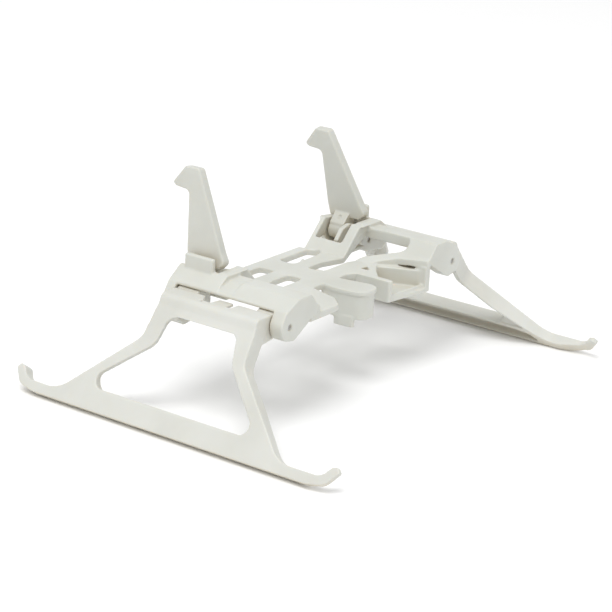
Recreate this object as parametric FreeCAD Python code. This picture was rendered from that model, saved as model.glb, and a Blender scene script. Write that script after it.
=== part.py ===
import FreeCAD, Part
import os, math
from FreeCAD import Vector as V

os.makedirs("parts", exist_ok=True)

# ---------------- driving dimensions (mm, degrees) ----------------
leg_pin_x = 40.0          # half distance between the two leg hinge axes
leg_pin_z = 28.6          # height of the leg hinge axes above the ground
arm_front_y = -18.6       # front faces of the hinge arms
arm_back_y = 22.0         # rear faces of the hinge arms
arm_wall = 4.2            # thickness of the arm end walls
leg_splay = 35.5          # slope of a leg from the vertical
leg_foot_x = 70.72        # where the outer leg face would meet the ground
leg_depth = 5.2           # depth of the leg rims at the struts
skid_depth = 3.5          # depth of the skid rail
tip_depth = 1.5           # depth of the front ski tip
leg_skin = 1.3            # thickness of the leg web
pin_r = 0.75              # hinge pin radius
pin_clear = 0.05          # running clearance of the moving eyes
eye_r = 3.7               # radius of the leg hinge eyes
arm_eye_r = 4.2           # radius of the arm ends
plate_z = 28.8            # top of the flat middle of the plate
plate_t = 1.9             # plate thickness
hook_pin_x = 31.2         # half distance between the hook hinge axes
hook_pin_z = 32.6
hook_lean = 7.7           # inward lean of a hook leaf
hook_t = 2.9              # leaf thickness
hook_eye_r = 2.7
hook_top = 62.3           # height of the hook tips


# ---------------- helpers ----------------
def outline(pts):
    """closed wire in the XY plane from (x, y, r) corners, r rounds the corner"""
    n = len(pts)
    segs = []
    starts, ends, arcs = [], [], []
    for i in range(n):
        p = V(pts[i][0], pts[i][1], 0)
        r = pts[i][2] if len(pts[i]) > 2 else 0
        a = V(pts[i - 1][0], pts[i - 1][1], 0)
        b = V(pts[(i + 1) % n][0], pts[(i + 1) % n][1], 0)
        if r <= 0:
            starts.append(p); ends.append(p); arcs.append(None)
            continue
        u = (a - p).normalize(); w = (b - p).normalize()
        ang = u.getAngle(w)
        t = r / math.tan(ang / 2.0)
        s = p + u * t; e = p + w * t
        bis = (u + w).normalize()
        c = p + bis * (r / math.sin(ang / 2.0))
        m = c - bis * r
        starts.append(s); ends.append(e); arcs.append(m)
    for i in range(n):
        if arcs[i] is not None:
            segs.append(Part.Arc(starts[i], arcs[i], ends[i]).toShape())
        q = starts[(i + 1) % n]
        if (ends[i] - q).Length > 1e-6:
            segs.append(Part.makeLine(ends[i], q))
    return Part.Wire(segs)


def prism_z(pts, z0, z1):
    f = Part.Face(outline(pts))
    f.translate(V(0, 0, z0))
    return f.extrude(V(0, 0, z1 - z0))


def prism_y(pts, y0, y1):
    """profile given as (x, z, r), run along Y"""
    f = Part.Face(outline(pts))
    s = f.extrude(V(0, 0, -(y1 - y0)))
    s.rotate(V(0, 0, 0), V(1, 0, 0), 90)      # (x, y, z) -> (x, -z, y)
    s.translate(V(0, y0, 0))
    return s


def box(x0, x1, y0, y1, z0, z1):
    return Part.makeBox(x1 - x0, y1 - y0, z1 - z0, V(x0, y0, z0))


def cyl_y(x, z, r, y0, y1):
    return Part.makeCylinder(r, y1 - y0, V(x, y0, z), V(0, 1, 0))


def mirrored(s):
    return s.mirror(V(0, 0, 0), V(1, 0, 0))


def fuse(items):
    s = items[0]
    if len(items) > 1:
        s = s.multiFuse(items[1:])
    return s.removeSplitter()


def save(shape, name):
    shape = shape.removeSplitter()
    if shape.ShapeType == "Compound" and len(shape.Solids) == 1:
        shape = shape.Solids[0]
    shape.exportStep("parts/%s.step" % name)


# ---------------- leg (right hand, +X) ----------------
a = math.radians(leg_splay)
sa, ca = math.sin(a), math.cos(a)


def leg_local(s):
    """(y, s, w) of the leg plane -> the part frame; w is outward from the face"""
    m = FreeCAD.Matrix(0, -sa, ca, leg_foot_x,
                       1, 0, 0, 0,
                       0, ca, sa, 0,
                       0, 0, 0, 1)
    return s.transformShape(m, True)


leg_out = [(46.5, 1.95, 6), (51.9, 3.0, 4), (54.9, 7.3, 0.5), (53.8, 8.6, 0.8), (52.2, 8.1, 1.0),
           (50.0, 5.0, 4), (38.8, 4.9, 9), (19.2, 25.6, 5), (18.5, 38.6, 0),
           (-14.2, 38.6, 0), (-15.3, 26.0, 5), (-36.7, 4.9, 9), (-50.0, 5.0, 4),
           (-52.2, 8.1, 1.0), (-53.8, 8.6, 0.8), (-54.9, 7.3, 0.5), (-51.9, 3.0, 4), (-46.5, 1.95, 6)]
leg_win = [(32.1, 8.4, 2.8), (14.3, 24.6, 5), (13.3, 33.2, 3.0), (-9.4, 33.2, 1.8), (-11.6, 25.2, 5),
           (-27.7, 8.4, 2.6)]
# pocket behind the web: between the outer rim and the window rim
rim = 1.3
pocket_skid = [(34.4, 6.2, 0.8), (30.6, 7.1, 0.8), (-27.8, 7.1, 0.8), (-32.0, 6.2, 0.8), (-36.0, 3.25, 0.6), (38.2, 3.25, 0.6)]


def leg_part():
    f = Part.Face(outline(leg_out))
    body = f.extrude(V(0, 0, -leg_depth))
    win = Part.Face(outline(leg_win))
    win.translate(V(0, 0, 1))
    body = body.cut(win.extrude(V(0, 0, -leg_depth - 2)))
    # hollow the inner side, leaving the web and the outer rim
    # struts: rim along the outside only
    hol = []
    fr = [(-16.2, 24.2, 3), (-13.6, 27.0, 3), (-12.9, 33.0, 0.5), (-8.0, 33.0, 0), (-8.0, 26.0, 0), (-21.0, 12.6, 0), (-27.6, 12.6, 0.6)]
    rr = [(19.4, 24.0, 3), (17.0, 27.2, 3), (17.0, 33.0, 0.5), (12.0, 33.0, 0), (12.0, 26.0, 0), (24.0, 12.6, 0), (30.4, 12.6, 0.6)]
    for p in (fr, rr):
        g = Part.Face(outline(p))
        g.translate(V(0, 0, -leg_skin))
        hol.append(g.extrude(V(0, 0, -leg_depth)))
    g = Part.Face(outline(pocket_skid))
    g.translate(V(0, 0, -leg_skin))
    hol.append(g.extrude(V(0, 0, -leg_depth)))
    for h in hol:
        body = body.cut(h)
    # the strut pockets run out in a ramp towards the lower window corners
    ramp = Part.makePolygon([V(-60, 12.8, -leg_skin), V(-60, 12.8, -8), V(-60, 8.6, -8), V(-60, 8.6, -3.4), V(-60, 12.8, -leg_skin)])
    ramp = Part.Face(ramp).extrude(V(120, 0, 0))
    for p in ([(22.0, 12.8, 0), (30.2, 12.8, 0), (34.2, 8.6, 0), (26.0, 8.6, 0)],
              [(-19.0, 12.8, 0), (-27.4, 12.8, 0), (-31.6, 8.6, 0), (-23.0, 8.6, 0)]):
        g = Part.Face(outline(p))
        g.translate(V(0, 0, 1))
        body = body.cut(ramp.common(g.extrude(V(0, 0, -12))))
    # the depth drafts down from the struts to the skid rail
    dr = Part.makePolygon([V(-60, -2, -skid_depth), V(-60, 5.5, -skid_depth), V(-60, 18.0, -leg_depth - 0.05), V(-60, 18.0, -8), V(-60, -2, -8),
                           V(-60, -2, -skid_depth)])
    body = body.cut(Part.Face(dr).extrude(V(120, 0, 0)))
    # the front ski end thins towards its tip
    tip = Part.makePolygon([V(-42.0, -2, -skid_depth), V(-50.0, -2, -tip_depth), V(-60.0, -2, -tip_depth), V(-60.0, -2, -8), V(-42.0, -2, -8), V(-42.0, -2, -skid_depth)])
    body = body.cut(Part.Face(tip).extrude(V(0, 16, 0)))
    body = leg_local(body)
    # above the bar the plate is replaced by the eye block
    body = body.cut(box(30, 60, -30, 30, 29.6, 45))
    # bar and eye block, profile (x, z)
    top = 31.9
    full = [(40.0, 24.9, 0), (47.6, 24.0, 0), (51.44, 27.03, 0), (49.9, 29.19, 1.0), (48.9, top, 2.0), (42.7, top, 0.3), (42.4, 30.2, 0), (40.0, 30.2, 0)]
    bar = [(47.9, 27.6, 0.4), (51.44, 27.03, 0), (49.9, 29.19, 1.0), (48.9, top, 2.0), (46.0, top, 0), (46.0, 30.3, 0.3), (47.2, 29.4, 0.5)]
    # the underside of the bar rises inwards between the eye blocks
    body = body.cut(prism_y([(51.44, 27.03, 0), (47.9, 27.6, 0), (40.0, 27.6, 0), (40.0, 20.0, 0), (56.0, 20.0, 0), (56.0, 27.0, 0)], -8.7, 11.2))
    body = body.cut(prism_y([(47.9, 27.6, 0), (47.2, 29.4, 0), (46.0, 30.3, 0), (40.0, 30.3, 0), (40.0, 27.6, 0)], -8.7, 11.2))
    items = [body, prism_y(bar, -14.2, 18.5)]
    for y0, y1 in ((-14.2, -8.7), (11.2, 18.5)):
        items.append(prism_y(full, y0, y1))
        items.append(cyl_y(leg_pin_x, leg_pin_z, eye_r, y0, y1))
    # shoulders beside the eyes, then the notches, then the stop tongue in the middle
    sh = [(42.5, 30.5, 0.3), (42.5, top, 0.4), (47.4, top, 0), (47.4, 30.5, 0)]
    items.append(prism_y(sh, -8.8, -2.9))
    rear_sh = prism_z([(41, 8.3, 0), (42.5, 8.3, 0), (47.5, 5.7, 0), (47.5, 11.3, 0), (41, 11.3, 0)], 30, 33)
    items.append(prism_y(sh, 5.5, 11.3).common(rear_sh))
    tab = prism_z([(47.0, -0.6, 0), (41.4, -0.6, 0.5), (41.4, 4.2, 0.6), (44.8, 4.7, 0.4), (47.0, 4.7, 0)], 30.5, 31.4)
    items.append(tab)
    s = fuse(items)
    s = s.cut(cyl_y(leg_pin_x, leg_pin_z, pin_r + pin_clear, -15, 20))
    # small round hole beside the rear notch
    s = s.cut(Part.makeCylinder(0.45, 3.0, V(46.6, 6.4, 29.6)))
    # flat running strip under the skid
    s = s.cut(box(0, 90, -70, 70, -10, 0.0))
    return s


leg_r = leg_part()
save(leg_r, "right_leg")
save(mirrored(leg_r), "left_leg")

# ---------------- hook (right hand) ----------------
h = math.radians(hook_lean)


def hook_part():
    # leaf outline in (y, height along the leaf)
    leaf = [(20.7, 62.6, 1.2), (25.4, 62.5, 0.9), (29.2, 57.3, 0.6), (28.0, 56.4, 0.5), (23.3, 56.0, 1.6), (21.6, 40.0, 0),
            (20.8, 36.2, 0.4), (13.4, 36.3, 0), (10.3, 36.4, 0.7), (8.3, 38.5, 1.4), (9.9, 41.0, 4.0)]
    f = Part.Face(outline([(y, z, r) for (y, z, r) in leaf]))
    s = f.extrude(V(0, 0, hook_t))
    # (y, z, w) -> x = w
    m = FreeCAD.Matrix(0, 0, 1, 0,
                       1, 0, 0, 0,
                       0, 1, 0, 0,
                       0, 0, 0, 1)
    s = s.transformShape(m, True)
    # inner face passes x = 31.79 at z = 40
    s.rotate(V(0, 0, 40), V(0, 1, 0), -hook_lean)
    s.translate(V(31.79, 0, 0))
    big = sorted(s.Faces, key=lambda f: -f.Area)[:2]
    rim_edges = [e for f in big for e in f.Edges if max(v.Point.z for v in e.Vertexes) > 38.5]
    for r in (0.4, 0.3, 0.2):
        try:
            s2 = s.makeFillet(r, rim_edges)
            if s2.isValid() and s2.Volume > 0.8 * s.Volume:
                s = s2
                break
        except Exception:
            pass
    # root block with the sloping inner face, and the hinge eye
    root = [(34.9, 38.4, 0.3), (32.2, 38.2, 0.3), (29.2, 35.1, 0.6), (29.0, 32.6, 0), (33.9, 32.6, 0), (35.1, 35.6, 0.5)]
    items = [s, prism_y(root, 13.6, 18.6), cyl_y(hook_pin_x, hook_pin_z, hook_eye_r, 13.6, 18.6)]
    s = fuse(items)
    # shallow round dimple in the sloping face
    mid = V(30.7, 16.2, 36.65)
    nrm = V(-math.sin(math.radians(46)), 0, math.cos(math.radians(46)))
    s = s.cut(Part.makeCylinder(0.7, 1.0, mid - nrm * 0.35, nrm))
    s = s.cut(cyl_y(hook_pin_x, hook_pin_z, pin_r + pin_clear, 13, 20))
    return s


hook_r = hook_part()
save(hook_r, "right_hook")
save(mirrored(hook_r), "left_hook")

# ---------------- pins ----------------
fp = cyl_y(leg_pin_x, leg_pin_z, pin_r, arm_front_y + 0.6, -9.2)
rp = cyl_y(leg_pin_x, leg_pin_z, pin_r, 11.8, arm_back_y - 0.6)
hp = cyl_y(hook_pin_x, hook_pin_z, pin_r, 9.9, arm_back_y - 0.35)
save(fp, "right_leg_front_pin")
save(rp, "right_leg_rear_pin")
save(mirrored(fp), "left_leg_front_pin")
save(mirrored(rp), "left_leg_rear_pin")
save(hp, "right_hook_pin")
save(mirrored(hp), "left_hook_pin")

# ---------------- base frame ----------------
t = plate_t
out_x, out_z = 41.8, 33.1     # outer lower edge of the side rails
rail_step_y = 5.4             # where the rail steps up to the hook bay


def sheet(top, th, y0, y1):
    """bent sheet: top line (x, z) from the middle outwards, given thickness downwards"""
    low = [(x, z - d) for (x, z, d) in reversed(top)]
    pts = [(x, z, 0) for (x, z, d) in top] + [(x, z, 0) for (x, z) in low]
    return prism_y(pts, y0, y1)


def frame_half():
    items = []
    # flat middle and rear slopes, y from 2.6 to the rear rim
    rear = [(-0.01, plate_z, t), (19.6, plate_z, t), (27.4, 36.6, 2.6), (37.0, 36.6, 1.7), (out_x, out_z, 1.2)]
    s = sheet(rear, t, rail_step_y, arm_back_y)
    # openings of the rear half, seen from above
    c_slot = prism_z([(4.4, 13.3, 1.5), (4.4, 18.6, 1.5), (18.4, 18.6, 1.4), (20.2, 14.6, 1.2), (17.0, 13.6, 3)], 20, 45)
    s = s.cut(c_slot)
    bay = box(22.8, 35.9, 9.6, 19.0, 24, 45)
    s = s.cut(bay)
    items.append(s)
    # front half: lower slopes, then the arms
    fr = [(-0.01, plate_z, t), (19.6, plate_z, t), (27.5, 32.0, 2.0), (31.0, 35.75, 2.4), (36.4, 35.7, 1.7), (out_x, out_z, 1.2)]
    s = sheet(fr, t, arm_front_y, 0.4)
    low = [(-0.01, plate_z, t), (19.6, plate_z, t), (27.5, 32.0, 2.0), (30.7, 35.4, 2.4), (36.2, 35.4, 1.6), (out_x, out_z, 1.2)]
    s = s.fuse(sheet(low, t, 0.4, 2.6))
    plan = [(-0.01, 2.7, 0), (-0.01, -3.6, 0), (4.4, -3.4, 0), (7.5, -3.2, 0), (9.0, -4.0, 1.0), (11.0, -5.0, 0), (15.6, -3.0, 2), (20.5, -2.6, 3),
            (24.6, -9.0, 4), (26.6, arm_front_y, 0), (44, arm_front_y, 0), (44, 2.7, 0)]
    s = s.common(prism_z(plan, 20, 45))
    items.append(s)
    # lowered stretch of the rail between the arm and the hook bay
    mid = [(-0.01, plate_z, t), (19.6, plate_z, t), (26.2, 35.4, 2.4), (36.2, 35.4, 1.6), (out_x, out_z, 1.2)]
    s = sheet(mid, t, 2.6, rail_step_y)
    items.append(s.cut(c_slot))
    # arm end walls
    wall = [(27.5, 32.0, 0), (31.8, 36.6, 0.8), (37.0, 36.5, 1.5), (out_x, out_z, 1.2), (44.2, 29.4, 3.2), (42.8, 25.2, 2.6), (38.0, 24.3, 2.0),
            (28.2, 30.0, 0.8)]
    front_wall = [(27.5, 32.0, 0), (31.0, 35.75, 0.8), (36.4, 35.7, 1.5)] + wall[3:]
    items.append(prism_y(front_wall, arm_front_y, arm_front_y + arm_wall))
    items.append(prism_y(wall, arm_back_y - 3.0, arm_back_y))
    # rear wall of the hook bay, down the slope
    rw = [(20.2, 29.4, 0), (27.4, 36.6, 0.6), (36.2, 36.6, 0.6), (36.6, 31.0, 0), (26.0, 31.0, 0), (20.2, 26.9, 0)]
    items.append(prism_y(rw, 19.0, arm_back_y))
    # front wall of the hook bay (tall, rounded) and the narrow rib before the eye
    fw = [(19.0, 28.0, 0), (26.2, 35.7, 2.0), (28.6, 37.0, 2.0), (36.6, 36.9, 1.2), (37.6, 35.4, 0), (27.6, 31.4, 3), (20.4, 26.9, 0)]
    items.append(prism_y(fw, 6.4, 8.6))
    rib = [(24.0, 31.6, 0), (26.5, 34.6, 1), (30.2, 35.6, 2), (33.6, 34.6, 2), (34.4, 31.6, 1.5), (31.4, 28.4, 1.5), (25.0, 28.4, 0)]
    items.append(prism_y(rib, 11.8, 13.3))
    # bay floor and outer side
    items.append(prism_y([(22.6, 29.6, 0), (33.2, 29.0, 0), (33.2, 28.0, 0), (22.6, 28.0, 0), (21.0, 28.6, 0), (21.0, 29.8, 0)], 8.4, 19.2))
    items.append(box(36.2, 37.2, 8.4, 19.2, 32.9, 36.0))
    # stop ear outside the leaf
    ear = prism_z([(36.1, 10.1, 0.4), (36.1, 19.9, 0.4), (37.7, 19.9, 0.5), (37.7, 10.1, 0.5)], 35.0, 40.3)
    cut = prism_y([(30, 45, 0), (45, 45, 0), (45, 40.3, 0), (30, 40.3, 0)], 5, 25)
    ear = ear.cut(cut)
    try:
        es = [e for e in ear.Edges if abs(e.Vertexes[0].Point.z - 40.3) < 1e-3 and abs(e.Vertexes[-1].Point.z - 40.3) < 1e-3]
        ear2 = ear.makeFillet(0.5, es)
        if ear2.isValid():
            ear = ear2
    except Exception:
        pass
    items.append(ear)
    s = fuse(items)
    # big side opening in front of the hook bay
    d_open = prism_z([(4.6, 3.6, 1.3), (4.6, 8.4, 1.3), (12.0, 8.4, 3), (19.5, 6.2, 0), (31.0, 6.2, 1.2), (31.0, -9.6, 1.2), (28.4, -9.4, 1.5),
                      (22.0, 1.4, 5), (17.0, 3.2, 3), (8.0, 3.2, 2)], 20, 36.2)
    s = s.cut(d_open)
    s = s.cut(prism_z([(19.0, 20.4, 0), (19.0, 30, 0), (29.0, 30, 0), (29.0, 22.0, 0), (27.4, 20.4, 0)], 20, 45))
    # inner skirt of the side rail
    s = s.fuse(box(31.0, 32.2, -9.6, 8.4, 32.4, 35.6))
    # slot through the bay clear of the eye, leaf and root block in every position
    s = s.cut(cyl_y(hook_pin_x, hook_pin_z, hook_eye_r + 0.35, 13.3, 19.2))
    s = s.cut(prism_y([(28.2, 32.6, 0), (28.0, 45, 0), (35.75, 45, 0), (35.75, 32.4, 0)], 13.3, 19.2))
    s = s.cut(prism_y([(28.2, 36.4, 0), (28.0, 45, 0), (35.9, 45, 0), (35.9, 35.5, 0)], 8.62, 23.0))
    # deeper lip of the rail over the notches of the leg
    s = s.fuse(prism_y([(40.2, 33.4, 0), (out_x, out_z - 0.1, 0), (out_x, 31.65, 0.2), (41.1, 31.65, 0.2)], -2.6, 9.0))
    # room for the leg eyes
    s = s.cut(cyl_y(leg_pin_x, leg_pin_z, eye_r + 0.3, arm_front_y + arm_wall, arm_back_y - 3.0))
    # pin holes
    s = s.cut(cyl_y(leg_pin_x, leg_pin_z, pin_r, -30, 30))
    s = s.cut(cyl_y(hook_pin_x, hook_pin_z, pin_r, 9.9, 30))
    s = s.cut(cyl_y(leg_pin_x, leg_pin_z, 1.05, arm_front_y - 1, arm_front_y + 0.5))
    s = s.cut(cyl_y(leg_pin_x, leg_pin_z, 1.05, arm_back_y - 0.5, arm_back_y + 1))
    return s


half = frame_half()
frame = fuse([half, mirrored(half)])

# central tongue at the front
tongue_top = prism_z([(-4.2, -2.6, 0), (-4.6, -9.0, 2), (-3.2, -16.9, 3.6), (5.2, -16.9, 3.2), (5.0, -12.0, 1.5), (3.2, -2.6, 0)], 27.5, plate_z)
tongue_wall = prism_z([(-3.8, -2.6, 0), (-4.2, -9.0, 2), (-2.9, -16.5, 3.4), (4.9, -16.5, 3.0), (4.6, -12.0, 1.5), (2.8, -2.6, 0)], 20.2, 27.6)
core = prism_z([(-2.4, -3.6, 0.4), (-2.8, -9.0, 1), (-1.6, -15.1, 2.2), (3.6, -15.1, 2.0), (3.2, -11.0, 1), (1.6, -3.6, 0.4)], 19.0, 27.4)
tongue_low = prism_z([(-3.9, -7.4, 0), (-4.2, -9.4, 1.0), (-3.7, -13.8, 0.6), (-2.2, -13.6, 0.3), (-2.6, -9.4, 1), (-2.4, -7.4, 0)], 17.9, 21.0)
front = fuse([tongue_top, tongue_wall.cut(core), tongue_low])
# right tray
tray = []
tray.append(prism_z([(10.4, -3.4, 0.6), (10.4, -16.4, 0.7), (12.2, -16.4, 0.7), (12.4, -3.0, 0.6)], 22.4, plate_z))
tray.append(prism_z([(10.4, -4.0, 0), (10.4, -16.0, 0.6), (27.2, arm_front_y, 0.6), (31.0, -16.5, 0), (30.0, -8.0, 0), (25.0, -4.0, 0)], 22.3, 23.5))
tray.append(prism_z([(21.6, -2.9, 0), (20.3, -4.7, 0.5), (23.5, -10.8, 3), (25.5, -15.4, 0), (26.0, -17.4, 0), (27.0, -17.4, 0), (26.5, -8.6, 2), (24.9, -5.6, 1.6), (22.6, -2.9, 0)], 22.4, 28.5))
tray.append(prism_z([(27.9, -15.0, 0), (28.9, -15.0, 0), (28.9, -8.8, 0), (28.2, -7.6, 0.3), (27.4, -7.6, 0.3), (27.9, -9.2, 0)], 26.0, 31.4))
tray.append(prism_z([(26.4, -16.4, 0), (28.4, -16.4, 0), (28.4, -8.4, 0), (27.6, -7.2, 0), (25.4, -7.2, 0)], 26.0, 28.3))
tray.append(prism_z([(26.1, -14.4, 0), (25.9, arm_front_y + 0.1, 0.4), (27.4, arm_front_y + 0.1, 0), (27.4, -14.4, 0)], 22.4, 29.7))
tray.append(prism_z([(10.4, -3.0, 0), (10.4, -11.6, 0), (12.2, -11.2, 0), (16.4, -7.5, 0), (21.8, -4.0, 0), (21.8, -2.6, 0)], 26.9, plate_z)
            .cut(prism_z([(14.9, -3.1, 0), (18.4, -3.0, 0), (15.2, -5.7, 0)], 20, 35)))
tray.append(prism_z([(12.0, -11.4, 0), (16.4, -7.6, 0), (21.8, -4.1, 0), (21.4, -3.3, 0), (16.0, -6.8, 0), (11.6, -10.4, 0)], 22.4, 28.0))
tray.append(prism_z([(10.6, -15.3, 0), (10.6, -16.1, 0.3), (26.4, -17.6, 0.3), (26.4, -16.6, 0)], 22.6, 24.5))
tray.append(prism_z([(26.2, arm_front_y, 0.3), (27.9, arm_front_y, 0), (29.0, -14.8, 0), (27.0, -14.8, 0)], 22.3, 31.0))
# left shelf
shelf = [prism_z([(-10.5, -3.0, 0), (-13.4, -13.8, 2.0), (-17.5, -18.4, 2.5), (-30.0, -18.2, 0), (-30.0, -6.0, 0), (-18.0, -3.0, 0)], 27.6, 29.6),
         prism_z([(-14.8, -9.0, 0), (-15.2, -13.6, 1.5), (-18.6, -17.2, 2.5), (-29.0, -17.2, 0), (-29.0, -9.0, 0)], 26.9, 27.7),
         box(-29.8, -27.3, -18.3, -14.6, 29.0, 31.2)]
frame = fuse([frame, front] + tray + shelf)
for sx in (1, -1):
    frame = frame.cut(cyl_y(sx * leg_pin_x, leg_pin_z, pin_r, -30, 30))
save(frame, "base_frame")

for nm, s in (("frame", frame), ("leg", leg_r), ("hook", hook_r)):
    bb = s.BoundBox
    print(nm, "solids", len(s.Solids), "valid", s.isValid(), "vol %.0f" % s.Volume,
          "x %.1f..%.1f y %.1f..%.1f z %.1f..%.1f" % (bb.XMin, bb.XMax, bb.YMin, bb.YMax, bb.ZMin, bb.ZMax))
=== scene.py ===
import math

import bpy
import bmesh
from mathutils import Matrix, Vector


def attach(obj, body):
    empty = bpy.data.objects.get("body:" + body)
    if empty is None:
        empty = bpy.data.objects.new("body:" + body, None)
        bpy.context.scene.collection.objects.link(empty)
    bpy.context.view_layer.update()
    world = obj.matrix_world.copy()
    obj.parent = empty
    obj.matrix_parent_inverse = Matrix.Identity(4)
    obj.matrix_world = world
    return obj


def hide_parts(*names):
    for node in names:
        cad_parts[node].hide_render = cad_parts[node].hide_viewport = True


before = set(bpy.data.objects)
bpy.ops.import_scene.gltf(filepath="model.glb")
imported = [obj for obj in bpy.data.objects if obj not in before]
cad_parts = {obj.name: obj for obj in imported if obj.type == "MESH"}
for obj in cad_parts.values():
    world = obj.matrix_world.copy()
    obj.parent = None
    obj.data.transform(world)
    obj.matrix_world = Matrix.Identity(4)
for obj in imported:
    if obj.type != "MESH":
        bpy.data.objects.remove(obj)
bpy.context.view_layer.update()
scene = bpy.context.scene

# ---------------- camera at the photograph's viewing angle ----------------
AZ, EL, ROLL = math.radians(-54.78), math.radians(19.03), math.radians(2.94)
back = Vector((math.sin(AZ) * math.cos(EL), -math.cos(AZ) * math.cos(EL), math.sin(EL)))
right = Vector((math.cos(AZ), math.sin(AZ), 0.0))
up = back.cross(right)
right2 = math.cos(ROLL) * right + math.sin(ROLL) * up
up2 = -math.sin(ROLL) * right + math.cos(ROLL) * up
cam_data = bpy.data.cameras.new("camera")
cam = bpy.data.objects.new("camera", cam_data)
scene.collection.objects.link(cam)
m = Matrix((right2, up2, back)).transposed().to_4x4()
m.translation = Vector((-0.48396, -0.33665, 0.22331))
cam.matrix_world = m
cam_data.sensor_fit = "HORIZONTAL"
cam_data.sensor_width = 36.0
cam_data.lens = 2188.96 / 612.0 * 36.0
cam_data.clip_start = 0.01
cam_data.clip_end = 20.0
scene.camera = cam


# ---------------- moulded plastic ----------------
def nodes_of(mat):
    mat.use_nodes = True
    nt = mat.node_tree
    nt.nodes.clear()
    out = nt.nodes.new("ShaderNodeOutputMaterial")
    bsdf = nt.nodes.new("ShaderNodeBsdfPrincipled")
    nt.links.new(bsdf.outputs[0], out.inputs[0])
    return nt, bsdf


def noise(nt, coord, scale, detail, rough=0.5, distortion=0.0):
    n = nt.nodes.new("ShaderNodeTexNoise")
    n.inputs["Scale"].default_value = scale
    n.inputs["Detail"].default_value = detail
    n.inputs["Roughness"].default_value = rough
    n.inputs["Distortion"].default_value = distortion
    nt.links.new(coord, n.inputs["Vector"])
    return n.outputs["Fac"]


def ramp(nt, fac, stops):
    r = nt.nodes.new("ShaderNodeValToRGB")
    els = r.color_ramp.elements
    els[0].position, els[0].color = stops[0]
    els[1].position, els[1].color = stops[-1]
    for p, c in stops[1:-1]:
        e = els.new(p)
        e.color = c
    nt.links.new(fac, r.inputs[0])
    return r.outputs["Color"]


def scaled(nt, value, lo, hi):
    mr = nt.nodes.new("ShaderNodeMapRange")
    mr.inputs["To Min"].default_value = lo
    mr.inputs["To Max"].default_value = hi
    nt.links.new(value, mr.inputs["Value"])
    return mr.outputs["Result"]


def plastic(name, tone, painted_shade, shift=0.0):
    """off-white satin plastic: clouded tone, faint flow marks, painted yellowish shade in recesses, fine grain"""
    mat = bpy.data.materials.new(name)
    nt, bsdf = nodes_of(mat)
    tc = nt.nodes.new("ShaderNodeTexCoord")
    mp = nt.nodes.new("ShaderNodeMapping")
    mp.inputs["Location"].default_value = (shift, shift * 0.7, -shift)
    nt.links.new(tc.outputs["Object"], mp.inputs["Vector"])
    co = mp.outputs["Vector"]
    cloud = noise(nt, co, 45.0, 3.0, 0.55, 0.4)
    base = ramp(nt, cloud, [(0.30, tone[0] + (1,)), (0.52, tone[1] + (1,)), (0.74, tone[2] + (1,))])
    # painted shade: recesses and inside corners are tinted darker and yellower through an ambient-occlusion mask
    ao = nt.nodes.new("ShaderNodeAmbientOcclusion")
    ao.inputs["Distance"].default_value = 0.006
    ao.samples = 8
    inv = scaled(nt, ao.outputs["AO"], 1.0, 0.0)
    shade_amount = nt.nodes.new("ShaderNodeMath")
    shade_amount.operation = "MULTIPLY"
    shade_amount.inputs[1].default_value = 0.75
    nt.links.new(inv, shade_amount.inputs[0])
    shade_mix = nt.nodes.new("ShaderNodeMix")
    shade_mix.data_type = "RGBA"
    nt.links.new(shade_amount.outputs[0], shade_mix.inputs["Factor"])
    nt.links.new(base, shade_mix.inputs["A"])
    shade_mix.inputs["B"].default_value = painted_shade + (1,)
    nt.links.new(shade_mix.outputs["Result"], bsdf.inputs["Base Color"])
    grain = noise(nt, co, 2600.0, 2.0)
    flow = noise(nt, co, 190.0, 2.0, 0.5, 0.8)
    rough = scaled(nt, flow, 0.36, 0.50)
    nt.links.new(rough, bsdf.inputs["Roughness"])
    bsdf.inputs["Specular IOR Level"].default_value = 0.42
    bsdf.inputs["Subsurface Weight"].default_value = 0.22
    bsdf.inputs["Subsurface Radius"].default_value = (0.0016, 0.0013, 0.0009)
    bsdf.inputs["Subsurface Scale"].default_value = 1.0
    b1 = nt.nodes.new("ShaderNodeBump")
    b1.inputs["Strength"].default_value = 0.10
    b1.inputs["Distance"].default_value = 0.00006
    nt.links.new(grain, b1.inputs["Height"])
    b2 = nt.nodes.new("ShaderNodeBump")
    b2.inputs["Strength"].default_value = 0.14
    b2.inputs["Distance"].default_value = 0.00030
    nt.links.new(flow, b2.inputs["Height"])
    nt.links.new(b1.outputs["Normal"], b2.inputs["Normal"])
    nt.links.new(b2.outputs["Normal"], bsdf.inputs["Normal"])
    return mat


def steel(name):
    """cut pin: drawn along its length, with a dull oil film"""
    mat = bpy.data.materials.new(name)
    nt, bsdf = nodes_of(mat)
    tc = nt.nodes.new("ShaderNodeTexCoord")
    mp = nt.nodes.new("ShaderNodeMapping")
    mp.inputs["Scale"].default_value = (1.0, 0.04, 1.0)
    nt.links.new(tc.outputs["Object"], mp.inputs["Vector"])
    drawn = noise(nt, mp.outputs["Vector"], 2200.0, 3.0)
    spots = noise(nt, tc.outputs["Object"], 700.0, 3.0, 0.6)
    nt.links.new(ramp(nt, spots, [(0.35, (0.30, 0.29, 0.27, 1)), (0.65, (0.56, 0.57, 0.58, 1))]), bsdf.inputs["Base Color"])
    nt.links.new(scaled(nt, drawn, 0.26, 0.48), bsdf.inputs["Roughness"])
    bsdf.inputs["Metallic"].default_value = 1.0
    b = nt.nodes.new("ShaderNodeBump")
    b.inputs["Strength"].default_value = 0.2
    b.inputs["Distance"].default_value = 0.00003
    nt.links.new(drawn, b.inputs["Height"])
    nt.links.new(b.outputs["Normal"], bsdf.inputs["Normal"])
    return mat


# painted shade colour: the yellowish-brown tint mixed into recesses and inside corners through the AO mask
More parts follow.
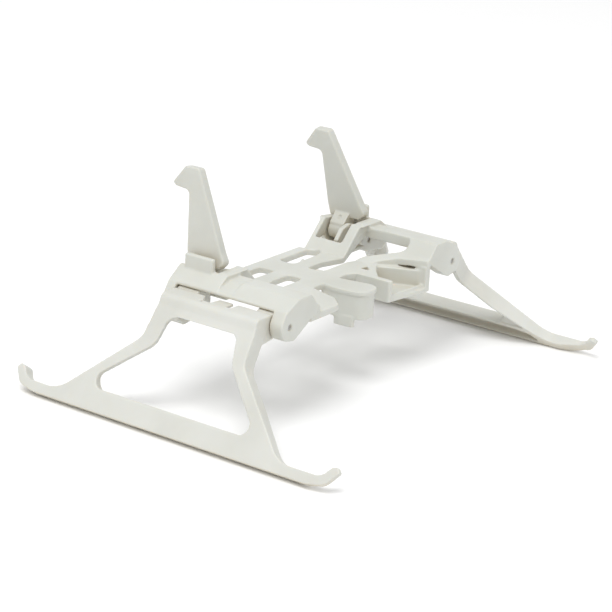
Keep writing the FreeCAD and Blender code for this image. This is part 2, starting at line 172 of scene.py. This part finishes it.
PAINTED_SHADE_COLOUR = (0.610, 0.550, 0.430)
frame_mat = plastic("frame_plastic", [(0.550, 0.558, 0.512), (0.586, 0.594, 0.550), (0.614, 0.624, 0.586)], PAINTED_SHADE_COLOUR, 0.0)
leg_mat = plastic("leg_plastic", [(0.562, 0.564, 0.520), (0.598, 0.602, 0.560), (0.626, 0.632, 0.596)], PAINTED_SHADE_COLOUR, 0.31)
hook_mat = plastic("hook_plastic", [(0.520, 0.524, 0.478), (0.552, 0.557, 0.512), (0.580, 0.586, 0.546)], PAINTED_SHADE_COLOUR, 0.67)
pin_mat = steel("pin_steel")


# ---------------- moulded pieces: the CAD shapes with the soft edges of a moulding ----------------
def moulded(node, body, mat, voxel, passes, faces):
    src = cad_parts[node]
    me = bpy.data.meshes.new(node + "_moulding")
    bm = bmesh.new()
    bm.from_mesh(src.data)
    bmesh.ops.remove_doubles(bm, verts=bm.verts, dist=1e-6)
    bmesh.ops.recalc_face_normals(bm, faces=bm.faces)
    bm.to_mesh(me)
    bm.free()
    ob = bpy.data.objects.new(node + "_moulding", me)
    scene.collection.objects.link(ob)
    rm = ob.modifiers.new("remesh", "REMESH")
    rm.mode = "VOXEL"
    rm.voxel_size = voxel
    rm.adaptivity = 0.0
    sm = ob.modifiers.new("smooth", "SMOOTH")
    sm.factor = 0.5
    sm.iterations = passes
    dg = bpy.context.evaluated_depsgraph_get()
    n = len(ob.evaluated_get(dg).data.polygons) * 2
    dc = ob.modifiers.new("thin", "DECIMATE")
    dc.ratio = min(1.0, faces / n)
    dg = bpy.context.evaluated_depsgraph_get()
    final = bpy.data.meshes.new_from_object(ob.evaluated_get(dg), depsgraph=dg)
    ob.modifiers.clear()
    ob.data = final
    bpy.data.meshes.remove(me)
    for p in final.polygons:
        p.use_smooth = True
    final.materials.clear()
    final.materials.append(mat)
    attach(ob, body)
    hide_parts(node)
    print(node, "faces", len(final.polygons))
    return ob


moulded("base_frame", "frame", frame_mat, 0.00026, 3, 150000)
for side in ("left", "right"):
    moulded(side + "_leg", side + "_leg", leg_mat, 0.00026, 3, 90000)
    moulded(side + "_hook", side + "_hook", hook_mat, 0.00018, 3, 40000)
for name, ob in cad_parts.items():
    if name.endswith("_pin"):
        ob.data.materials.clear()
        ob.data.materials.append(pin_mat)
        for p in ob.data.polygons:
            p.material_index = 0

# ---------------- floor, light ----------------
me = bpy.data.meshes.new("floor")
bm = bmesh.new()
bmesh.ops.create_grid(bm, x_segments=1, y_segments=1, size=6.0)
bm.to_mesh(me)
bm.free()
floor = bpy.data.objects.new("floor", me)
scene.collection.objects.link(floor)
floor.location.z = -0.0001
mat = bpy.data.materials.new("floor")
nt, bsdf = nodes_of(mat)
bsdf.inputs["Base Color"].default_value = (0.93, 0.93, 0.93, 1)
bsdf.inputs["Roughness"].default_value = 0.9
bsdf.inputs["Specular IOR Level"].default_value = 0.1
me.materials.append(mat)

world = bpy.data.worlds.new("studio")
scene.world = world
world.use_nodes = True
bg = world.node_tree.nodes["Background"]
bg.inputs["Color"].default_value = (1.0, 1.0, 1.0, 1)
bg.inputs["Strength"].default_value = 0.80


def area(name, loc, target, size, power):
    d = bpy.data.lights.new(name, "AREA")
    d.shape = "DISK"
    d.size = size
    d.energy = power
    o = bpy.data.objects.new(name, d)
    scene.collection.objects.link(o)
    o.location = loc
    o.rotation_mode = "QUATERNION"
    o.rotation_quaternion = (Vector(target) - Vector(loc)).to_track_quat("-Z", "Y")


area("key", (-0.62, -0.05, 1.40), (0, 0, 0.03), 0.9, 11.5)
area("fill", (0.2, -1.3, 0.8), (0, 0, 0.03), 1.0, 1.8)

scene.view_settings.view_transform = "Standard"
